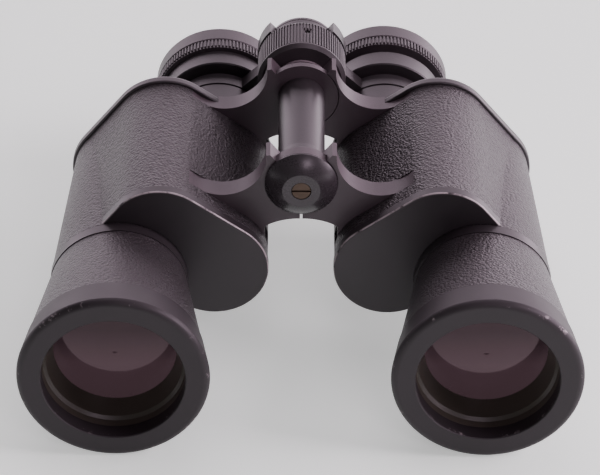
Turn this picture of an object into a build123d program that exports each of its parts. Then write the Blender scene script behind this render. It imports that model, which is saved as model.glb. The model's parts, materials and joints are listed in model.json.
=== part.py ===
"""Prism binoculars, 8 x 40, with a centre hinge and a centre focus wheel.

Millimetres. +X is the user's left-to-right across both barrels seen from the objectives, +Y runs
from the objectives to the eyepieces and +Z is up. The origin lies under the middle of the box.
Sketches use (x, height above the objective axes); stations are distances behind the front rims.
"""
import os
from math import asin, atan2, degrees, hypot

from build123d import *

os.makedirs("parts", exist_ok=True)

# Driving dimensions: the three axes of each half, for the right half; the left one is mirrored.
objective_axis = (58.9, 0.0)
corner_axis = (45.5, 16.8)
eyepiece_axis = (28.2, 4.3)
hinge_axis = (0.0, 31.5)

bezel_radius = 30.5
opening_radius = 22.8
overall_length = 167.8
skin = 0.8
running = 0.05
gap = 0.3

# Stations along the barrels
bezel_rear = 13.3
barrel_rear = 54.0
plate_front = 54.0
housing_front = 57.5
shelf_front = 84.0
shelf_rear = 88.0
housing_rear = 117.7
plate_rear = 121.5
socket_rear = 137.5

# Prism housing
body_radius = 16.6
pocket_radius = 15.0
plate_radius = 17.7
rear_plate_radius = 18.4
frustum_front_radius = 21.4
frustum_rear_radius = 16.7
light_hole_radius = 9.5
prism_half_width = 10.85
prism_end_radius = 14.4
front_apex = shelf_front - 21.7
rear_apex = shelf_rear + 21.7

# Hinge
arm_root = 36.3
stop_half_gap = 0.4
front_arm = (63.8, 71.3)
rear_arm = (114.2, 121.4)
front_split = 67.5
rear_split = 116.5
layer_gap = 0.2
big_disc_radius = 11.6
small_disc_radius = 9.0
rear_disc_radius = 12.2
axle_radius = 3.9
tube_radius = 7.65

# Focus drive and bridge
wheel_radius = 14.75
rib_height = 0.5
wheel_stations = (123.4, 137.9)
bridge_stations = (138.2, 144.0)
bridge_split = 141.1
ear_radius = 14.9
hub_radius = 11.5
bridge_half_width = 5.4
spindle_radius = 5.0
axle_rear = 127.0

# Eyepieces
sleeve_radius = 13.3
socket_bore = sleeve_radius + gap
socket_radius = 16.8
ocular_radius = 20.2
ocular_stations = (146.2, 153.3)
ring_radius = 22.0
ring_rear = 158.1
eyecup_rear = 165.4
cell_radius = 11.6
eye_lens_radius = 10.4
dioptre_offset = overall_length - eyecup_rear

sides = {"left": -1, "right": 1}


def station(distance):
    """Cross plane at a distance behind the rims; extruding forwards is positive."""
    return Plane(origin=(0, distance - overall_length / 2, bezel_radius),
                 x_dir=(1, 0, 0), z_dir=(0, -1, 0))


def turning_plane(centre, shift=0.0):
    """Plane whose x is the radius from an axis and whose y is the station along it."""
    return Plane(origin=(centre[0], shift - overall_length / 2, centre[1] + bezel_radius),
                 x_dir=(1, 0, 0), z_dir=(0, 0, 1))


def turning_axis(centre):
    return Axis((centre[0], 0, centre[1] + bezel_radius), (0, 1, 0))


def on_side(point, side):
    return (point[0] * side, point[1])


def keep(piece, name):
    """Label one finished piece and write it."""
    piece.part.label = name
    export_step(piece.part, f"parts/{name}.step")


def turned(points, centre, shift=0.0):
    """Solid of revolution from (radius, station) corners."""
    with BuildPart() as blank:
        with BuildSketch(turning_plane(centre, shift)):
            with BuildLine():
                Polyline(*points, close=True)
            make_face()
        revolve(axis=turning_axis(centre))
    return blank


def slot_between(start, end, radius, mode=Mode.ADD):
    """Round-ended slot from one axis to another, in the sketch that is open."""
    middle = ((start[0] + end[0]) / 2, (start[1] + end[1]) / 2)
    run = (end[0] - start[0], end[1] - start[1])
    turn = degrees(atan2(run[1], run[0]))
    with Locations(middle):
        SlotCenterToCenter(hypot(*run), 2 * radius, rotation=turn, mode=mode)


def prism_outline(side, radius):
    """The bent outline round both prisms: objective to corner, corner to eyepiece."""
    corner = on_side(corner_axis, side)
    slot_between(on_side(objective_axis, side), corner, radius)
    slot_between(corner, on_side(eyepiece_axis, side), radius)


def housing_body(side, thickness):
    """Outer body of one half, grown by a covering's thickness."""
    centre = on_side(objective_axis, side)
    with BuildPart() as body:
        with BuildSketch(station(housing_rear)):
            prism_outline(side, body_radius + thickness)
        extrude(amount=housing_rear - housing_front)
        with BuildSketch(turning_plane(centre)):
            with BuildLine():
                Polyline((0, barrel_rear), (frustum_front_radius + thickness, barrel_rear),
                         (frustum_rear_radius + thickness, housing_rear), (0, housing_rear), close=True)
            make_face()
        revolve(axis=turning_axis(centre))
    return body.part


def arm_web(side):
    """Outline of a hinge arm, from the body's flank to the stop under the hinge."""
    corners = [on_side(p, side) for p in (
        (11.4, 42.0), (10.0, 42.3), (5.0, 36.0), (stop_half_gap, 30.0), (stop_half_gap, 17.4),
        (11.9, 14.3), (11.9, 6.0), (20.0, 4.3), (arm_root, 12.0), (arm_root, 31.5))]
    with BuildLine() as outline:
        Polyline(*corners[:5])
        ThreePointArc(corners[4], on_side((6.6, 16.6), side), corners[5])
        Polyline(*corners[5:])
        ThreePointArc(corners[-1], on_side((25.4, 26.7), side), corners[0])
    make_face(outline.edges())


def arm_slice(side, front, rear, own_disc=0.0, other_disc=0.0):
    """One slice of a hinge arm: it carries its own bored disc, or clears the other half's disc."""
    bore = axle_radius + (running if side > 0 else 0)
    with BuildPart() as layer:
        with BuildSketch(station(rear)):
            arm_web(side)
            if rear > housing_rear:
                with BuildSketch(mode=Mode.PRIVATE) as plate:
                    prism_outline(side, rear_plate_radius + 0.1)
                add(plate.sketch, mode=Mode.SUBTRACT)
            with Locations(hinge_axis):
                if other_disc:
                    Circle(other_disc + gap, mode=Mode.SUBTRACT)
                if own_disc:
                    Circle(own_disc)
                    Circle(bore, mode=Mode.SUBTRACT)
        extrude(amount=rear - front)
    return layer.part


def arm_slices(side):
    """The slices of both hinge arms; the left discs and the right ones stand one behind the other."""
    half = layer_gap / 2
    if side < 0:
        return [
            arm_slice(side, front_arm[0], front_split - half, own_disc=big_disc_radius),
            arm_slice(side, front_split - half, front_arm[1], other_disc=small_disc_radius),
            arm_slice(side, rear_arm[0], rear_split - half, own_disc=rear_disc_radius),
            arm_slice(side, rear_split - half, housing_rear, other_disc=small_disc_radius),
            arm_slice(side, housing_rear, rear_arm[1], other_disc=small_disc_radius),
        ]
    return [
        arm_slice(side, front_arm[0], front_split + half, other_disc=big_disc_radius),
        arm_slice(side, front_split + half, front_arm[1], own_disc=small_disc_radius),
        arm_slice(side, rear_arm[0], rear_split + half, other_disc=rear_disc_radius),
        arm_slice(side, rear_split + half, housing_rear, own_disc=small_disc_radius),
        arm_slice(side, housing_rear, rear_arm[1], own_disc=small_disc_radius),
    ]


def prism_housing(side):
    """Cast housing: open pockets front and rear, a shelf for the prisms and both hinge arms."""
    centre = on_side(objective_axis, side)
    with BuildPart() as housing:
        add(housing_body(side, 0))
        for front, rear in ((housing_front, shelf_front), (shelf_rear, housing_rear)):
            with BuildSketch(station(rear)):
                prism_outline(side, pocket_radius)
            extrude(amount=rear - front, mode=Mode.SUBTRACT)
        with BuildSketch(turning_plane(centre)):
            with BuildLine():
                Polyline((0, barrel_rear), (18.0, barrel_rear), (18.0, 60.0),
                         (pocket_radius, shelf_front), (0, shelf_front), close=True)
            make_face()
        revolve(axis=turning_axis(centre), mode=Mode.SUBTRACT)
        with BuildSketch(station(shelf_rear)):
            with Locations(*(on_side(p, side) for p in (objective_axis, corner_axis, eyepiece_axis))):
                Circle(light_hole_radius)
        extrude(amount=shelf_rear - shelf_front, mode=Mode.SUBTRACT)
        for piece in arm_slices(side):
            add(piece)
        # The arms' roots reach into the pockets, so the pockets are cleared once more.
        for front, rear in ((housing_front, shelf_front), (shelf_rear, housing_rear)):
            with BuildSketch(station(rear)):
                prism_outline(side, pocket_radius)
            extrude(amount=rear - front, mode=Mode.SUBTRACT)
    return housing


def housing_covering(side):
    """Leatherette wrapped round the housing, cut away where the arms grow out of it."""
    with BuildPart() as covering:
        add(housing_body(side, skin))
        add(housing_body(side, 0), mode=Mode.SUBTRACT)
        for front, rear in (front_arm, (rear_arm[0], housing_rear + 1)):
            with BuildSketch(station(rear)):
                with BuildLine():
                    Polyline(*(on_side(p, side) for p in (
                        (0, 6.0), (24.0, 6.0), (arm_root, 20.0), (arm_root, 45.0), (0, 45.0))), close=True)
                make_face()
            extrude(amount=rear - front, mode=Mode.SUBTRACT)
    return covering


def front_plate(side):
    """Cover of the front prism pocket, bitten out where the barrel's shoulder stands."""
    with BuildPart() as plate:
        with BuildSketch(station(housing_front)):
            prism_outline(side, plate_radius)
        extrude(amount=housing_front - plate_front)
        fillet(plate.faces().sort_by(Axis.Y)[0].edges(), radius=0.7)
        with BuildSketch(station(housing_front)):
            with Locations(on_side(objective_axis, side)):
                Circle(frustum_front_radius + skin + 0.2)
        extrude(amount=housing_front - plate_front, mode=Mode.SUBTRACT)
    return plate


def rear_plate(side):
    """Cover of the rear prism pocket with the eyepiece's socket tube standing on it."""
    eyepiece = on_side(eyepiece_axis, side)
    with BuildPart() as plate:
        with BuildSketch(station(plate_rear)):
            prism_outline(side, rear_plate_radius)
        extrude(amount=plate_rear - housing_rear)
        fillet(plate.faces().sort_by(Axis.Y)[-1].edges(), radius=1.4)
        fillet(plate.faces().sort_by(Axis.Y)[0].edges(), radius=0.6)
        with BuildSketch(station(socket_rear)):
            with Locations(eyepiece):
                Circle(socket_radius)
        extrude(amount=socket_rear - plate_rear + 1)
        with BuildSketch(station(socket_rear)):
            with Locations(eyepiece):
                Circle(socket_bore)
        extrude(amount=socket_rear - housing_rear, mode=Mode.SUBTRACT)
        with BuildSketch(station(plate_rear)):
            with Locations(*plate_screw_places(side)):
                Circle(1.0)
        extrude(amount=plate_rear - housing_rear, mode=Mode.SUBTRACT)
        with BuildSketch(station(plate_rear)):
            with Locations(*plate_screw_places(side)):
                Circle(2.0)
        extrude(amount=1.0, mode=Mode.SUBTRACT)
    return plate


def plate_screw_places(side):
    return [on_side(p, side) for p in ((66.0, 9.0), (62.0, -12.0), (50.5, 27.5))]


def rear_plate_screws(side):
    """Three cheese-head screws that hold the rear plate, each with a slot."""
    with BuildPart() as screws:
        with BuildSketch(station(plate_rear)):
            with Locations(*plate_screw_places(side)):
                Circle(1.9)
        extrude(amount=0.9)
        with BuildSketch(station(plate_rear - 0.9)):
            with Locations(*plate_screw_places(side)):
                Circle(0.95)
        extrude(amount=plate_rear - 0.9 - housing_rear)
        with BuildSketch(station(plate_rear)):
            with Locations(*plate_screw_places(side)):
                Rectangle(4.0, 0.5)
        extrude(amount=0.4, mode=Mode.SUBTRACT)
    return screws


def prism(start, end, face, apex):
    """Right-angle prism with rounded ends; its long face is at one station, its apex at another."""
    run = (end[0] - start[0], end[1] - start[1])
    middle = ((start[0] + end[0]) / 2, (start[1] + end[1]) / 2)
    length = hypot(*run)
    side_plane = Plane(
        origin=(middle[0], -overall_length / 2, middle[1] + bezel_radius),
        x_dir=(run[0], 0, run[1]), z_dir=(-run[1], 0, run[0]))
    # The plane's y may point either way along the barrels, so the stations take its sign.
    way = 1 if side_plane.y_dir.Y > 0 else -1
    with BuildPart() as glass:
        with BuildSketch(side_plane):
            with BuildLine():
                Polyline((-length, way * face), (length, way * face), (0.7, way * apex),
                         (-0.7, way * apex), close=True)
            make_face()
        extrude(amount=prism_half_width, both=True)
        with BuildSketch(station(max(face, apex) + 1)):
            slot_between(start, end, prism_end_radius)
        extrude(amount=abs(apex - face) + 2, mode=Mode.INTERSECT)
    return glass


def prism_clips(side):
    """Two spring straps, each bent over a prism's apex and down to the shelf."""
    corner = on_side(corner_axis, side)
    objective = on_side(objective_axis, side)
    eyepiece = on_side(eyepiece_axis, side)
    with BuildPart() as clips:
        for start, end, face, apex in ((corner, eyepiece, shelf_front, front_apex),
                                       (objective, corner, shelf_rear, rear_apex)):
            run = (end[0] - start[0], end[1] - start[1])
            middle = ((start[0] + end[0]) / 2, (start[1] + end[1]) / 2)
            turn = degrees(atan2(run[1], run[0]))
            inner = 2 * (prism_half_width + 0.2)
            rearmost = max(face, apex + (0.9 if apex > face else 0))
            foremost = min(face, apex - (0.9 if apex < face else 0))
            with BuildSketch(station(rearmost)):
                with Locations(Location(middle, turn)):
                    Rectangle(7.0, inner + 1.4)
            extrude(amount=rearmost - foremost)
            hollow_rear = apex + 0.2 if apex > face else face
            hollow_front = apex - 0.2 if apex < face else face
            with BuildSketch(station(hollow_rear)):
                with Locations(Location(middle, turn)):
                    Rectangle(7.0, inner)
            extrude(amount=hollow_rear - hollow_front, mode=Mode.SUBTRACT)
    return clips


def objective_barrel(side):
    """Conical barrel with a thread for the bezel and a spigot that enters the housing."""
    return turned([(25.2, 6.0), (27.0, 6.0), (27.0, bezel_rear), (27.6, bezel_rear + 0.1), (21.3, 49.7),
                   (22.4, 49.8), (22.4, 53.6), (22.0, barrel_rear), (17.9, barrel_rear), (17.9, 59.8),
                   (16.4, 59.8), (16.4, 54.0), (20.2, 49.7), (25.2, 18.0)], on_side(objective_axis, side))


def barrel_covering(side):
    return turned([(27.6, bezel_rear + 0.1), (28.36, bezel_rear + 0.1), (22.1, 49.7), (21.3, 49.7)],
                  on_side(objective_axis, side))


def objective_bezel(side):
    """Front ring: flat face, rounded rim, gentle taper, and a lip with the full opening."""
    centre = on_side(objective_axis, side)
    with BuildPart() as bezel:
        with BuildSketch(turning_plane(centre)):
            with BuildLine():
                Polyline((27.05, bezel_rear), (27.05, 5.8), (opening_radius, 5.8), (opening_radius, 0.3),
                         (opening_radius + 0.3, 0), (28.3, 0))
                RadiusArc((28.3, 0), (bezel_radius, 2.2), -2.2)
                Polyline((bezel_radius, 2.2), (28.7, bezel_rear - 0.4), (28.3, bezel_rear),
                         (27.05, bezel_rear))
            make_face()
        revolve(axis=turning_axis(centre))
    return bezel


def lens_retaining_ring(side):
    return turned([(25.1, 6.0), (22.9, 6.0), (22.6, 8.5), (21.6, 9.5), (19.6, 16.3), (20.4, 16.3),
                   (21.8, 14.0), (25.1, 14.0)], on_side(objective_axis, side))


def lens_cell(side):
    return turned([(25.1, 14.1), (22.2, 14.1), (20.6, 16.5), (20.6, 25.2), (19.4, 25.2), (19.4, 27.0),
                   (22.2, 27.0), (22.2, 17.6), (25.1, 17.6)], on_side(objective_axis, side))


def lens(centre, radius, front, rear, shift=0.0):
    """Lens from (edge, vertex) stations of its front and rear faces."""
    with BuildPart() as glass:
        with BuildSketch(turning_plane(centre, shift)):
            with BuildLine():
                for edge, vertex in (front, rear):
                    sag = edge - vertex
                    if abs(sag) < 0.01:
                        Line((0, vertex), (radius, edge))
                    else:
                        curve = (radius ** 2 + sag ** 2) / (2 * sag)
                        turn = degrees(asin(radius / curve))
                        JernArc((0, vertex), (1, 0), abs(curve), turn)
                Line((radius, front[0]), (radius, rear[0]))
                Line((0, rear[1]), (0, front[1]))
            make_face()
        revolve(axis=turning_axis(centre))
    return glass


def bridge_arm(side):
    """Arm from the bridge's hub to the ring that grips one eyepiece."""
    eyepiece = on_side(eyepiece_axis, side)
    left = side < 0
    front, rear = bridge_stations
    half = layer_gap / 2
    with BuildPart() as arm:
        with BuildSketch(station(rear)):
            slot_between(hinge_axis, eyepiece, bridge_half_width)
            with Locations(eyepiece):
                Circle(17.0)
            with Locations(hinge_axis):
                Circle(ear_radius)
            with BuildLine():
                Polyline(*(on_side(p, side) for p in (
                    (0.8, 60.0), (0.8, hinge_axis[1] - 1), (13.2, 45.0), (13.2, 60.0))), close=True)
            make_face(mode=Mode.SUBTRACT)
            with Locations((-side * 49.2, 20.0)):
                Rectangle(100.0, 80.0, mode=Mode.SUBTRACT)
        extrude(amount=rear - front)
        # The other arm's half-thick disc turns in this clearance.
        other = (bridge_split - half, rear) if left else (front, bridge_split + half)
        with BuildSketch(station(other[1])):
            with Locations(hinge_axis):
                Circle(hub_radius + gap)
        extrude(amount=other[1] - other[0], mode=Mode.SUBTRACT)
        own = (front, bridge_split - half) if left else (bridge_split + half, rear)
        with BuildSketch(station(own[1])):
            with Locations(hinge_axis):
                Circle(hub_radius)
        extrude(amount=own[1] - own[0])
        with BuildSketch(station(rear)):
            with Locations(hinge_axis):
                Circle(spindle_radius + (0 if left else running))
            with Locations(eyepiece):
                Circle(sleeve_radius)
        extrude(amount=rear - front, mode=Mode.SUBTRACT)
    return arm


def eyepiece_tube(side):
    """Sleeve that slides in the socket, with the barrel and the neck behind the bridge."""
    front, rear = ocular_stations
    return turned([(11.9, 124.0), (sleeve_radius, 124.0), (sleeve_radius, front - 0.6),
                   (ocular_radius - 0.4, front - 0.6), (ocular_radius, front - 0.2), (ocular_radius, rear - 0.3),
                   (ocular_radius - 0.3, rear), (17.0, rear), (17.0, 156.8), (11.9, 156.8)],
                  on_side(eyepiece_axis, side))


def eyepiece_ring(side, shift):
    """Knurled ring behind the eyepiece barrel; the right one sets the dioptre."""
    root = ring_radius - rib_height
    return turned([(17.3, 153.4), (root, 153.4), (root, ring_rear), (12.0, ring_rear), (12.0, 157.1),
                   (17.3, 157.1)], on_side(eyepiece_axis, side), shift)


def eyecup(side, shift):
    """Round-edged cup whose dished face leads down to the eye lens."""
    return turned([(12.0, ring_rear), (ring_radius - 0.3, ring_rear), (ring_radius, ring_rear + 0.3),
                   (ring_radius, eyecup_rear - 1.2), (ring_radius - 0.4, eyecup_rear - 0.3),
                   (ring_radius - 1.2, eyecup_rear), (ring_radius - 3.0, eyecup_rear),
                   (12.6, 160.4), (12.0, 160.2)],
                  on_side(eyepiece_axis, side), shift)


def eyepiece_lens_cell(side, shift):
    return turned([(eye_lens_radius - 1.2, 131.0), (cell_radius, 131.0), (cell_radius, 159.8),
                   (eye_lens_radius, 159.8), (eye_lens_radius, 154.6), (eye_lens_radius - 1.2, 154.6),
                   (eye_lens_radius - 1.2, 138.4), (eye_lens_radius, 138.4), (eye_lens_radius, 133.4),
                   (eye_lens_radius - 1.2, 133.4)], on_side(eyepiece_axis, side), shift)


def eye_lens_ring(side, shift):
    return turned([(9.0, 159.0), (eye_lens_radius, 158.6), (eye_lens_radius, 159.8), (9.6, 159.8)],
                  on_side(eyepiece_axis, side), shift)


for name, side in sides.items():
    objective = on_side(objective_axis, side)
    corner = on_side(corner_axis, side)
    eyepiece = on_side(eyepiece_axis, side)
    shift = dioptre_offset if side > 0 else 0.0
    keep(prism_housing(side), f"{name}_prism_housing")
    keep(housing_covering(side), f"{name}_housing_covering")
    keep(front_plate(side), f"{name}_front_plate")
    keep(rear_plate(side), f"{name}_rear_plate")
    keep(rear_plate_screws(side), f"{name}_rear_plate_screws")
    keep(prism(corner, eyepiece, shelf_front, front_apex), f"{name}_front_prism")
    keep(prism(objective, corner, shelf_rear, rear_apex), f"{name}_rear_prism")
    keep(prism_clips(side), f"{name}_prism_clips")
    keep(objective_barrel(side), f"{name}_objective_barrel")
    keep(barrel_covering(side), f"{name}_barrel_covering")
    keep(objective_bezel(side), f"{name}_objective_bezel")
    keep(lens_retaining_ring(side), f"{name}_lens_retaining_ring")
    keep(lens_cell(side), f"{name}_lens_cell")
    keep(lens(objective, 20.5, (16.6, 14.9), (20.6, 23.2)), f"{name}_crown_lens")
    keep(lens(objective, 20.5, (20.7, 23.3), (25.1, 25.1)), f"{name}_flint_lens")
    keep(bridge_arm(side), f"{name}_bridge_arm")
    keep(eyepiece_tube(side), f"{name}_eyepiece_tube")
    keep(eyepiece_ring(side, shift), f"{name}_eyepiece_ring")
    keep(eyecup(side, shift), f"{name}_eyecup")
    keep(eyepiece_lens_cell(side, shift), f"{name}_eyepiece_lens_cell")
    keep(lens(eyepiece, eye_lens_radius, (133.4, 133.4), (135.2, 138.2), shift), f"{name}_field_lens")
    keep(lens(eyepiece, eye_lens_radius, (156.8, 154.7), (158.5, 158.5), shift), f"{name}_eye_lens")
    keep(eye_lens_ring(side, shift), f"{name}_eye_lens_ring")

hinge_axle = turned([(0, 60.6), (axle_radius, 60.6), (axle_radius, axle_rear), (0, axle_rear)],
                    hinge_axis)
keep(hinge_axle, "hinge_axle")

tube_front = front_arm[1] + 0.3
tube_rear = rear_arm[0] - 0.2
hinge_tube = turned([(axle_radius, tube_front), (8.2, tube_front), (tube_radius + 0.1, tube_front + 1.7),
                     (tube_radius, tube_front + 4.1), (tube_radius, tube_rear),
                     (axle_radius, tube_rear)], hinge_axis)
keep(hinge_tube, "hinge_tube")

# Domed cap on the front end of the axle: rim, cone and flat nose, with a seat for its screw.
with BuildPart() as hinge_front_cap:
    with BuildSketch(turning_plane(hinge_axis)):
        with BuildLine():
            Polyline((6.15, 59.0), (3.25, 59.0), (3.25, 60.2), (0, 60.2), (0, 60.6), (axle_radius, 60.6),
                     (axle_radius, 63.8), (11.4, 63.8), (11.75, 63.4), (11.75, 63.0))
            ThreePointArc((11.75, 63.0), (9.25, 60.8), (6.15, 59.0))
        make_face()
    revolve(axis=turning_axis(hinge_axis))
keep(hinge_front_cap, "hinge_front_cap")

with BuildPart() as hinge_cap_screw:
    with BuildSketch(station(60.2)):
        with Locations(hinge_axis):
            Circle(3.2)
    extrude(amount=1.1)
    fillet(hinge_cap_screw.faces().sort_by(Axis.Y)[0].edges(), radius=0.3)
    with BuildSketch(station(59.6)):
        with Locations(hinge_axis):
            Rectangle(7.0, 0.7)
    extrude(amount=0.6, mode=Mode.SUBTRACT)
keep(hinge_cap_screw, "hinge_cap_screw")

keep(turned([(axle_radius, rear_arm[1] + 0.2), (9.2, rear_arm[1] + 0.2), (9.2, 122.6), (8.7, 123.1),
             (axle_radius, 123.1)], hinge_axis), "hinge_rear_collar")

wheel_front, wheel_rear = wheel_stations
rib_root = wheel_radius - rib_height
with BuildPart() as focus_wheel:
    with BuildSketch(turning_plane(hinge_axis)):
        with BuildLine():
            Polyline((axle_radius + running, wheel_front), (13.4, wheel_front),
                     (wheel_radius, wheel_front + 1.0), (wheel_radius, wheel_front + 1.5),
                     (rib_root, wheel_front + 1.5), (rib_root, wheel_rear - 0.8),
                     (wheel_radius - 0.2, wheel_rear - 0.8), (wheel_radius - 0.6, wheel_rear),
                     (spindle_radius + running, wheel_rear),
                     (spindle_radius + running, axle_rear + 0.3), (axle_radius + running, axle_rear + 0.3),
                     close=True)
        make_face()
    revolve(axis=turning_axis(hinge_axis))
    with BuildSketch(Plane.XY.offset(bezel_radius + hinge_axis[1] + wheel_radius - 2.6)):
        with Locations((1.9, wheel_front + 9.0 - overall_length / 2)):
            Circle(1.0)
    extrude(amount=3.0, mode=Mode.SUBTRACT)
keep(focus_wheel, "focus_wheel")

with BuildPart() as focus_wheel_grub_screw:
    with BuildSketch(Plane.XY.offset(bezel_radius + hinge_axis[1] + wheel_radius - 2.6)):
        with Locations((1.9, wheel_front + 9.0 - overall_length / 2)):
            Circle(0.95)
    extrude(amount=1.5)
keep(focus_wheel_grub_screw, "focus_wheel_grub_screw")

keep(turned([(0, axle_rear + 0.5), (spindle_radius, axle_rear + 0.5),
             (spindle_radius, bridge_stations[1]), (0, bridge_stations[1])], hinge_axis),
     "focus_spindle")
keep(turned([(0, 144.2), (11.6, 144.2), (11.6, 145.3), (10.8, 145.9), (0, 146.1)], hinge_axis),
     "bridge_hub_cap")
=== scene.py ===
"""Looks of the prism binoculars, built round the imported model. Metres, +Y towards the eyepieces."""
import json
from math import pi, radians

import bmesh
import bpy
from mathutils import Matrix, Vector


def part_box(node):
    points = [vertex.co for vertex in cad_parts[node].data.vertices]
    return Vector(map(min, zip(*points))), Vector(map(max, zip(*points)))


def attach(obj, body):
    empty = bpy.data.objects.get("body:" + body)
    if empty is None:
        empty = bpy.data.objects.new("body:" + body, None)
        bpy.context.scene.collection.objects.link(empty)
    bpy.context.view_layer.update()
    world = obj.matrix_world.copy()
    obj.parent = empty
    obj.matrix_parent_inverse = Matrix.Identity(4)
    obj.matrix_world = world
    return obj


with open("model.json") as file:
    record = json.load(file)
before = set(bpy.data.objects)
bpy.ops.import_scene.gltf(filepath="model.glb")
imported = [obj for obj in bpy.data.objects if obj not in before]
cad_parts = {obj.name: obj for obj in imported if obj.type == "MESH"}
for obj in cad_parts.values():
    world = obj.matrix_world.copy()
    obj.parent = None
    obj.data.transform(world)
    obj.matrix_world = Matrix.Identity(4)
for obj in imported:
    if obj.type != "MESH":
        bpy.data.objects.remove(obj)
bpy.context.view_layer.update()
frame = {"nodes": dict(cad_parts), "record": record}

MM = 0.001
FULL_TURN = 2 * pi
NODES = frame["nodes"]


def middle(node):
    """Centre of a node's box."""
    low, high = (Vector(corner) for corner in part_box(node))
    return (low + high) / 2


# Where the front rings and the front plates start, and the long axes, read from round nodes.
RIM_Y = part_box("left_objective_bezel")[0][1]
PLATE_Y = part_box("left_front_plate")[0][1]
HINGE = middle("hinge_tube")
OBJECTIVE_Z = middle("left_objective_bezel").z


# ---------------------------------------------------------------- shader maths

class Value:
    """A number socket of a material's node tree; arithmetic on it adds Math nodes."""

    def __init__(self, paint, socket):
        self.paint = paint
        self.socket = socket

    def _math(self, operation, first, second):
        return Value(self.paint, self.paint.node(
            "ShaderNodeMath", {"operation": operation}, {0: first, 1: second}))

    def __add__(self, other):
        return self._math("ADD", self, other)

    def __radd__(self, other):
        return self._math("ADD", other, self)

    def __sub__(self, other):
        return self._math("SUBTRACT", self, other)

    def __rsub__(self, other):
        return self._math("SUBTRACT", other, self)

    def __mul__(self, other):
        return self._math("MULTIPLY", self, other)

    def __truediv__(self, other):
        return self._math("DIVIDE", self, other)

    def clamp(self):
        """The value held between 0 and 1."""
        return self._math("MINIMUM", self._math("MAXIMUM", self, 0.0), 1.0)

    def above(self, limit, blur):
        """0 below a limit and 1 above it, with a soft step of the given width."""
        return ((self - (limit - blur / 2)) / blur).clamp()


class Paint:
    """A material under construction: one node method, and short words for common patterns."""

    def __init__(self, name):
        self.material = bpy.data.materials.new(name)
        self.material.use_nodes = True
        self.tree = self.material.node_tree
        self.tree.nodes.clear()
        self.place = self.node("ShaderNodeTexCoord", {}, {}, "Object")

    def node(self, kind, settings, values, output=0):
        """Adds a node, sets it up, feeds its inputs and returns one of its outputs."""
        made = self.tree.nodes.new(kind)
        for key, setting in settings.items():
            setattr(made, key, setting)
        for key, value in values.items():
            source = value.socket if isinstance(value, Value) else value
            if isinstance(source, bpy.types.NodeSocket):
                self.tree.links.new(source, made.inputs[key])
            else:
                made.inputs[key].default_value = source
        return None if output is None else made.outputs[output]

    def noise(self, scale, detail=2.0, roughness=0.5, distortion=0.0, stretch=(1, 1, 1)):
        """Soft noise from 0 to 1; scale counts features per metre."""
        vector = self.place
        if stretch != (1, 1, 1):
            vector = self.node("ShaderNodeMapping", {}, {"Vector": vector, "Scale": stretch})
        return Value(self, self.node("ShaderNodeTexNoise", {}, {
            "Vector": vector, "Scale": scale, "Detail": detail, "Roughness": roughness,
            "Distortion": distortion}))

    def cells(self, scale, wobble=0.0):
        """Distance to the nearest of scattered points; a wobble, in metres, bends the cells."""
        vector = self.place
        if wobble:
            noise = self.node("ShaderNodeTexNoise", {}, {
                "Vector": vector, "Scale": scale * 1.3, "Detail": 2.0}, "Color")
            centred = self.node("ShaderNodeVectorMath", {"operation": "SUBTRACT"},
                                {0: noise, 1: (0.5, 0.5, 0.5)})
            shift = self.node("ShaderNodeVectorMath", {"operation": "SCALE"},
                              {0: centred, "Scale": wobble})
            vector = self.node("ShaderNodeVectorMath", {"operation": "ADD"}, {0: vector, 1: shift})
        return Value(self, self.node("ShaderNodeTexVoronoi", {}, {
            "Vector": vector, "Scale": scale}, "Distance"))

    def blend(self, amount, low, high):
        """Colour between two colours."""
        values = {0: amount}
        for key, colour in ((6, low), (7, high)):
            values[key] = (*colour, 1.0) if isinstance(colour, tuple) else colour
        return self.node("ShaderNodeMix", {"data_type": "RGBA"}, values, 2)

    def bump(self, height, depth, strength=1.0):
        """Surface relief; depth is the real height in metres of a change of 1."""
        return self.node("ShaderNodeBump", {}, {
            "Height": height, "Distance": depth, "Strength": strength})

    def along(self, axis):
        """Object coordinate along X, Y or Z."""
        return Value(self, self.node(
            "ShaderNodeSeparateXYZ", {}, {0: self.place}, "XYZ".index(axis)))

    def edge_band(self, start, end, blur):
        """1 between two distances along Y and 0 outside them; both ends are soft."""
        place = self.along("Y")
        return place.above(start, blur) * (1.0 - place.above(end, blur))

    def finish(self, **sockets):
        """Closes the material with one Principled shader."""
        values = {}
        for key, value in sockets.items():
            is_colour = isinstance(value, tuple)
            values[key.replace("_", " ")] = (*value, 1.0) if is_colour else value
        shader = self.node("ShaderNodeBsdfPrincipled", {}, values)
        self.node("ShaderNodeOutputMaterial", {}, {"Surface": shader}, None)
        return self.material


# ---------------------------------------------------------------- materials

CHARCOAL = (0.012, 0.0095, 0.011)
CHARCOAL_LIGHT = (0.028, 0.023, 0.026)
CHARCOAL_DARK = (0.008, 0.005, 0.006)
# Light edge colour for painted highlights and rubbed patches.
BARE_METAL_AND_HIGHLIGHT = (0.30, 0.26, 0.27)
SHEEN = (1.0, 0.96, 0.99)


def satin_paint(name, roughness=0.36, grain=0.00003, tint=CHARCOAL, light=CHARCOAL_LIGHT):
    """Stoved black paint over a casting: fine orange peel, dust specks and faint rub marks."""
    paint = Paint(name)
    peel = paint.noise(1500.0, 3.0, 0.6)
    cloud = paint.noise(45.0, 4.0, 0.6)
    specks = (1.0 - paint.cells(700.0)).above(0.93, 0.04) * cloud.above(0.5, 0.2)
    tone = (cloud.above(0.5, 0.5) * 0.45 + specks * 0.5 + peel * 0.12).clamp()
    rough = roughness + (cloud - 0.5) * 0.16 + peel * 0.07
    return paint.finish(
        Base_Color=paint.blend(tone, tint, light), Roughness=rough,
        Normal=paint.bump(peel, grain, 0.8), Specular_IOR_Level=0.5, Specular_Tint=SHEEN)


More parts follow.
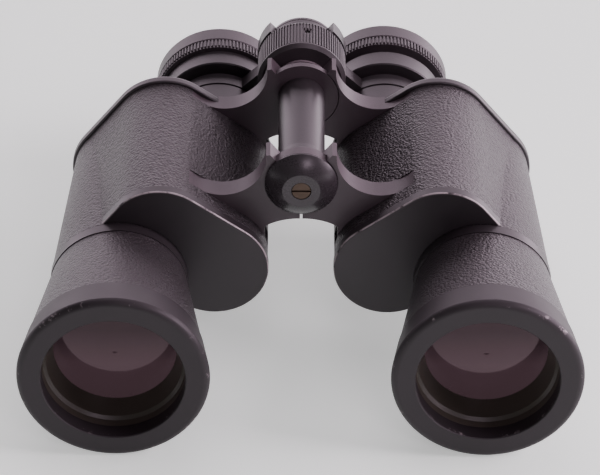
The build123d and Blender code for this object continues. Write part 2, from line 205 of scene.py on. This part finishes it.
def leatherette(name):
    """Grained covering: a net of shallow wrinkles between small flat pebbles."""
    paint = Paint(name)
    pebbles = paint.cells(1100.0, 0.8 * MM)
    fine = paint.noise(2600.0, 3.0, 0.6)
    wrinkle = paint.noise(760.0, 3.0, 0.55, 1.4)
    cloud = paint.noise(30.0, 3.0, 0.6)
    height = pebbles * -0.75 + wrinkle * 0.7 + fine * 0.25
    worn = (height + 0.35).above(0.3, 0.6)
    tone = (worn * 0.55 + cloud * 0.35).clamp()
    rough = 0.41 - worn * 0.08 + fine * 0.10
    return paint.finish(
        Base_Color=paint.blend(tone, CHARCOAL_DARK, CHARCOAL_LIGHT), Roughness=rough,
        Normal=paint.bump(height, 0.00060, 1.0), Specular_IOR_Level=0.55, Specular_Tint=SHEEN)


def glass_with_painted_glow(name):
    """Coated lens: dark glass with a painted mauve-grey glow that stands in for light coming through
    from behind; it fades towards the upper edge as painted shade under the front ring.
    """
    paint = Paint(name)
    haze = paint.noise(120.0, 3.0, 0.6)
    painted_glow_fade = ((OBJECTIVE_Z + 8.0 * MM) - paint.along("Z")) / (13.0 * MM)
    return paint.finish(
        Base_Color=paint.blend(haze, (0.014, 0.008, 0.010), (0.022, 0.014, 0.017)),
        Roughness=0.04 + haze * 0.04, Specular_IOR_Level=0.42, Specular_Tint=(1.0, 0.72, 0.80),
        # The emission is painted light through the glass, dimmed towards the top as painted shade.
        Emission_Color=paint.blend(painted_glow_fade.clamp(), (0.0, 0.0, 0.0), (0.052, 0.030, 0.037)),
        Emission_Strength=0.8)


def prism_glass(name):
    """Pale glass with a little haze; it lets about half of the light past."""
    paint = Paint(name)
    haze = paint.noise(90.0, 2.0)
    return paint.finish(
        Base_Color=(0.55, 0.60, 0.58), Roughness=0.06 + haze * 0.06,
        Alpha=0.45 + haze * 0.1, IOR=1.56)


def machined(name, colour, roughness):
    """Turned metal: fine rings left by the tool, a little tarnish."""
    paint = Paint(name)
    tool = paint.noise(1100.0, 2.0, 0.5, 0.0, (1.0, 6.0, 1.0))
    tarnish = paint.noise(160.0, 4.0, 0.65)
    dark = tuple(channel * 0.45 for channel in colour)
    return paint.finish(
        Base_Color=paint.blend(tarnish.above(0.5, 0.45), dark, colour),
        Roughness=roughness + tarnish * 0.18 + tool * 0.06, Metallic=1.0,
        Normal=paint.bump(tool, 0.000012, 0.6))


def paint_with_edge_highlight(name, band, wear_and_highlight_limit, roughness, specular):
    """Satin paint with a painted highlight along its edge, a band along Y, laid on as patches of
    lighter bare metal that also read as rubbed paint.

    A higher limit leaves fewer of these light patches.
    """
    paint = Paint(name)
    cloud = paint.noise(60.0, 4.0, 0.62)
    peel = paint.noise(1700.0, 3.0, 0.6)
    patches = paint.noise(260.0, 4.0, 0.68)
    rubbed_and_highlight = paint.edge_band(*band) * patches.above(wear_and_highlight_limit, 0.16)
    tone = (cloud.above(0.52, 0.5) * 0.4 + peel * 0.18).clamp()
    base = paint.blend(tone, CHARCOAL, CHARCOAL_LIGHT)
    return paint.finish(
        Base_Color=paint.blend(rubbed_and_highlight, base, BARE_METAL_AND_HIGHLIGHT),
        Roughness=roughness + (cloud - 0.5) * 0.18 + peel * 0.06 - rubbed_and_highlight * 0.1,
        Normal=paint.bump(peel, 0.00002, 0.8), Specular_IOR_Level=specular, Specular_Tint=SHEEN)


MATERIALS = {
    "satin_black_paint": satin_paint("satin_black_paint"),
    "gloss_black_paint": satin_paint("gloss_black_paint", 0.24, 0.00001, (0.026, 0.022, 0.025)),
    # The worn black paint's colours are far lighter than the other black paints: painted light on the
    # hinge collar, which sits in the focus wheel's shade.
    "worn_black_paint": satin_paint(
        "worn_black_paint", 0.34, 0.00003, (0.10, 0.078, 0.09), (0.20, 0.16, 0.18)),
    "knurled_black": satin_paint(
        "knurled_black", 0.38, 0.00001, (0.020, 0.015, 0.018), (0.045, 0.036, 0.041)),
    "black_plastic": satin_paint(
        "black_plastic", 0.42, 0.00002, (0.034, 0.027, 0.031), (0.050, 0.041, 0.046)),
    "leatherette": leatherette("leatherette"),
    "coated_glass": glass_with_painted_glow("coated_glass"),
    "prism_glass": prism_glass("prism_glass"),
    "olive_black_ring": satin_paint(
        "olive_black_ring", 0.34, 0.00001, (0.040, 0.034, 0.027), (0.065, 0.057, 0.044)),
    "anodised_black": satin_paint(
        "anodised_black", 0.5, 0.00001, (0.018, 0.016, 0.016), (0.026, 0.023, 0.023)),
    "blackened_steel": machined("blackened_steel", (0.06, 0.058, 0.06), 0.35),
    "spring_steel": machined("spring_steel", (0.55, 0.54, 0.53), 0.25),
    "bronze_screw": machined("bronze_screw", (0.13, 0.095, 0.075), 0.36),
}

# Some pieces have a paint of their own: the rims of the front rings and the edges of the front
# plates carry a painted highlight in rubbed-looking patches, and the arms of the housings get a
# lighter, rougher paint whose extra lightness is painted light.
OWN_PAINT = {
    # Both edge bands are painted highlights on the rounded edges, broken into patches like rubbed
    # paint.
    "objective_bezel": paint_with_edge_highlight(
        "bezel_paint", (RIM_Y + 0.3 * MM, RIM_Y + 1.6 * MM, 0.3 * MM), 0.66, 0.50, 0.36),
    # The arm paint is lighter than the other black paints as painted light on the shaded fronts of
    # the arms.
    "prism_housing": satin_paint(
        "arm_paint_painted_light", 0.40, 0.00004, (0.046, 0.033, 0.040), (0.064, 0.048, 0.057)),
    "front_plate": paint_with_edge_highlight(
        "front_plate_paint", (PLATE_Y + 0.12 * MM, PLATE_Y + 0.62 * MM, 0.1 * MM), 0.42, 0.40, 0.5),
}

for entry in frame["record"]["subparts"]:
    mesh = NODES[entry["node"]].data
    mesh.materials.clear()
    kind = entry["node"].split("_", 1)[1]
    mesh.materials.append(OWN_PAINT.get(kind, MATERIALS[entry["material_slot"]]))


# ---------------------------------------------------------------- ribs of the wheel and the rings

RIB_HEIGHT = 0.50 * MM
RIB_SUNK = 0.15 * MM
WHEEL_RIBS = 88
RING_RIBS = 112


def add_ribs(bm, centre, root, front, rear, pitch, first, count):
    """Adds a run of bars on a cylinder along Y; angles count from the top towards +X."""
    width = 0.58 * pitch * root
    made = bmesh.ops.create_cube(bm, size=1.0)["verts"]
    bmesh.ops.scale(bm, vec=(width, rear - front, RIB_HEIGHT + RIB_SUNK), verts=made)
    bmesh.ops.translate(bm, vec=(0.0, (front + rear) / 2, root + (RIB_HEIGHT - RIB_SUNK) / 2),
                        verts=made)
    # dict.fromkeys drops repeats as a set would, and keeps the elements in order.
    crest = dict.fromkeys(edge for vert in made for edge in vert.link_edges
                          if all(end.co.z > root + RIB_SUNK for end in edge.verts))
    cut = bmesh.ops.bevel(bm, geom=list(crest), offset=0.32 * width, offset_type="OFFSET",
                          segments=2, profile=0.5, affect="EDGES", clamp_overlap=True)
    bar = [vert for vert in dict.fromkeys([*made, *cut["verts"]]) if vert.is_valid]
    edges = dict.fromkeys(edge for vert in bar for edge in vert.link_edges)
    faces = dict.fromkeys(face for vert in bar for face in vert.link_faces)
    bmesh.ops.rotate(bm, cent=(0, 0, 0), matrix=Matrix.Rotation(first, 3, "Y"), verts=bar)
    bmesh.ops.translate(bm, vec=(centre.x, 0.0, centre.z), verts=bar)
    if count > 1:
        bmesh.ops.spin(bm, geom=[*bar, *edges, *faces], cent=(centre.x, 0.0, centre.z),
                       axis=(0, 1, 0), dvec=(0, 0, 0), angle=pitch * (count - 1),
                       steps=count - 1, use_duplicate=True)


def ribbed(name, body, runs):
    """One piece of ribs in the knurled finish, riding with a body."""
    bm = bmesh.new()
    for run in runs:
        add_ribs(bm, *run)
    mesh = bpy.data.meshes.new(name)
    bm.to_mesh(mesh)
    bm.free()
    mesh.materials.append(MATERIALS["knurled_black"])
    piece = bpy.data.objects.new(name, mesh)
    bpy.context.scene.collection.objects.link(piece)
    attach(piece, body)


def wheel_ribs():
    """Ribs of the focus wheel, between its rims; three of them make room for the grub screw."""
    (low, high), (hole_low, hole_high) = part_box("focus_wheel"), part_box("focus_wheel_grub_screw")
    root = (high[2] - low[2]) / 2 - RIB_HEIGHT
    front, rear = low[1] + 1.6 * MM, high[1] - 0.9 * MM
    parted = 3
    pitch = FULL_TURN / WHEEL_RIBS
    hole = (middle("focus_wheel_grub_screw").x - HINGE.x) / root
    margin = 0.35 * MM
    first = hole - pitch * (parted - 1) / 2
    ribbed("focus_wheel_ribs", "focus_wheel", [
        (HINGE, root, front, rear, pitch, first + pitch * parted, WHEEL_RIBS - parted),
        (HINGE, root, front, hole_low[1] - margin, pitch, first, parted),
        (HINGE, root, hole_high[1] + margin, rear, pitch, first, parted)])


def ring_ribs(side, body):
    """Ribs all round the ring of one eyepiece, with a little of its edges left plain."""
    low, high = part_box(f"{side}_eyepiece_ring")
    root = (high[2] - low[2]) / 2
    ribbed(f"{side}_eyepiece_ring_ribs", body, [
        (middle(f"{side}_eyecup"), root, low[1] + 0.5 * MM, high[1] - 0.3 * MM,
         FULL_TURN / RING_RIBS, 0.0, RING_RIBS)])


wheel_ribs()
ring_ribs("left", "eyepiece_carriage")
ring_ribs("right", "dioptre_ring")


# ---------------------------------------------------------------- stage, light and camera

MAUVE_LIGHT = (1.0, 0.82, 0.95)


def soft_light(name, place, target, size, power):
    """Rectangular light that faces a target; size is its width and height, power is in watts."""
    light = bpy.data.lights.new(name, "AREA")
    light.shape = "RECTANGLE"
    light.size, light.size_y = size
    light.energy = power
    light.color = MAUVE_LIGHT
    lamp = bpy.data.objects.new(name, light)
    lamp.location = place
    lamp.rotation_euler = (Vector(target) - Vector(place)).to_track_quat("-Z", "Y").to_euler()
    bpy.context.scene.collection.objects.link(lamp)


def stage():
    """Pale floor with a faint glow of its own, and even, pale surroundings."""
    bm = bmesh.new()
    bmesh.ops.create_grid(bm, x_segments=1, y_segments=1, size=6.0)
    mesh = bpy.data.meshes.new("floor")
    bm.to_mesh(mesh)
    bm.free()
    floor = bpy.data.objects.new("floor", mesh)
    bpy.context.scene.collection.objects.link(floor)
    paint = Paint("pale_floor")
    mesh.materials.append(paint.finish(
        Base_Color=(0.84, 0.95, 0.87), Roughness=0.7,
        Emission_Color=(1.0, 1.0, 1.0), Emission_Strength=0.46))
    world = bpy.data.worlds.new("studio")
    world.use_nodes = True
    surroundings = world.node_tree.nodes["Background"].inputs
    surroundings["Color"].default_value = (1.0, 1.0, 1.0, 1.0)
    surroundings["Strength"].default_value = 0.13
    bpy.context.scene.world = world


def camera():
    """Long lens looking down on the front rings from a little over a metre away."""
    lens = bpy.data.cameras.new("camera")
    lens.sensor_width = 36.0
    lens.lens = 236.9
    eye = bpy.data.objects.new("camera", lens)
    eye.location = (-0.00035, RIM_Y - 0.984, OBJECTIVE_Z + 0.7548)
    pitch, roll = radians(35.41), radians(0.24)
    eye.matrix_world = (Matrix.Translation(eye.location) @ Matrix.Rotation(pi / 2 - pitch, 4, "X")
                        @ Matrix.Rotation(roll, 4, "Z"))
    bpy.context.scene.collection.objects.link(eye)
    bpy.context.scene.camera = eye


stage()
centre = (0.0, 0.0, 0.03)
soft_light("back_panel", (0.0, 1.7, 0.55), (0.0, 0.0, 0.05), (3.4, 1.2), 36.0)
soft_light("right_softbox", (0.95, -0.15, 0.50), centre, (0.5, 0.7), 15.0)
soft_light("right_panel", (1.5, 0.9, 0.22), centre, (1.2, 0.5), 24.0)
soft_light("left_panel", (-1.5, 0.9, 0.22), centre, (1.2, 0.5), 5.0)
soft_light("key_softbox", (0.35, -1.1, 0.95), centre, (0.45, 0.3), 3.0)
soft_light("top_softbox", (0.0, 0.35, 1.4), centre, (1.2, 0.8), 7.0)
camera()
